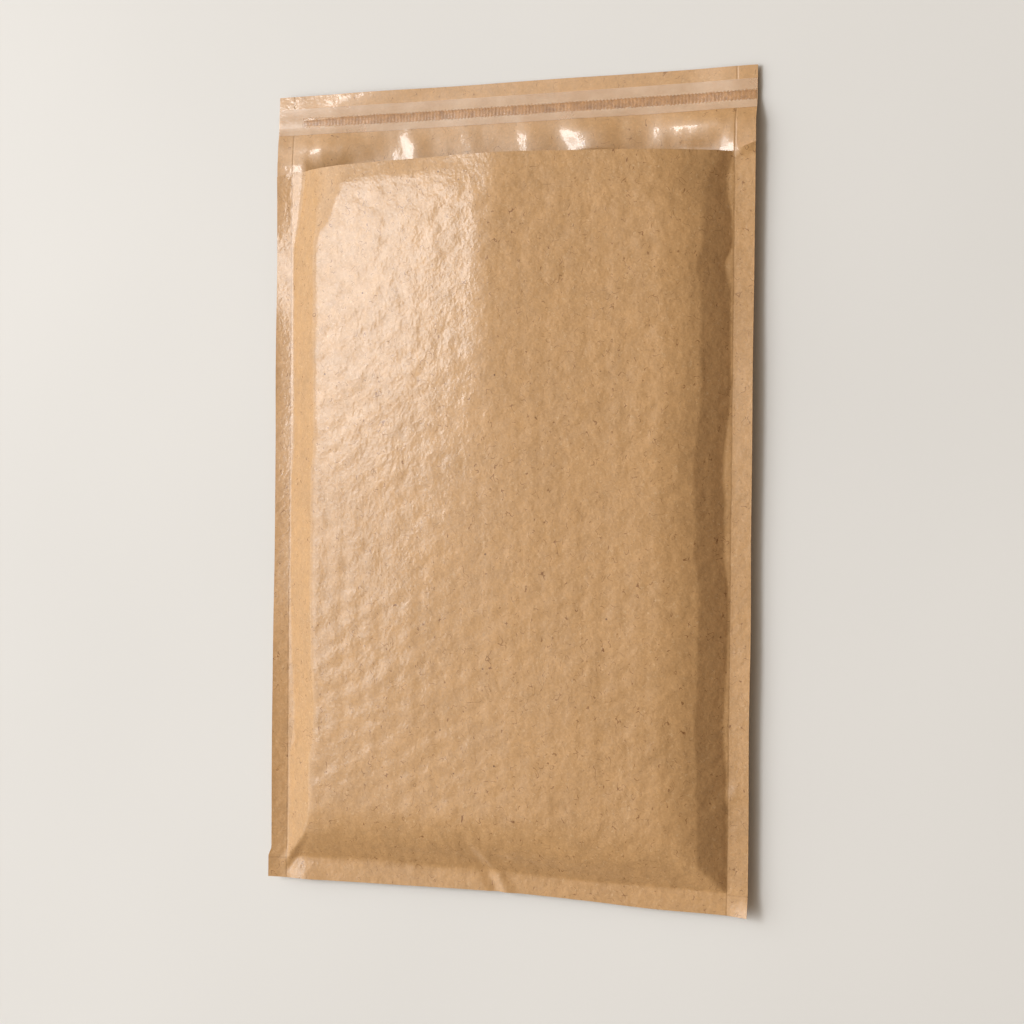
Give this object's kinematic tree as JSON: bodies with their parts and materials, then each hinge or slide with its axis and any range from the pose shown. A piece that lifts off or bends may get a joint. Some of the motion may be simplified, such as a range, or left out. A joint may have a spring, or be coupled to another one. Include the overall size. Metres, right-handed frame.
{
  "type": "padded envelope",
  "caption": "Kraft paper mailing envelope with a bubble film lining, an open mouth and a closing flap with adhesive under a release liner.",
  "frame": {"origin": "under the middle of the outline, on the plane that the back panel rests on", "axes": "+Z out of the front panel, +Y along the length towards the flap, +X to the right of the front panel"},
  "size_m": [0.25, 0.4, 0.0223],
  "materials": {
    "kraft_paper": "brown kraft with dark fibres, machine glazed outside and film laminated inside",
    "bubble_film": "clear bubble film, 10 mm bubbles",
    "hot_melt": "amber pressure-sensitive adhesive with a ribbed face",
    "liner_film": "translucent pale release film"
  },
  "bodies": {
    "root": {"kraft_shell": "kraft_paper", "bubble_lining": "bubble_film", "adhesive_strip": "hot_melt", "release_liner": "liner_film"}
  },
  "joints": []
}
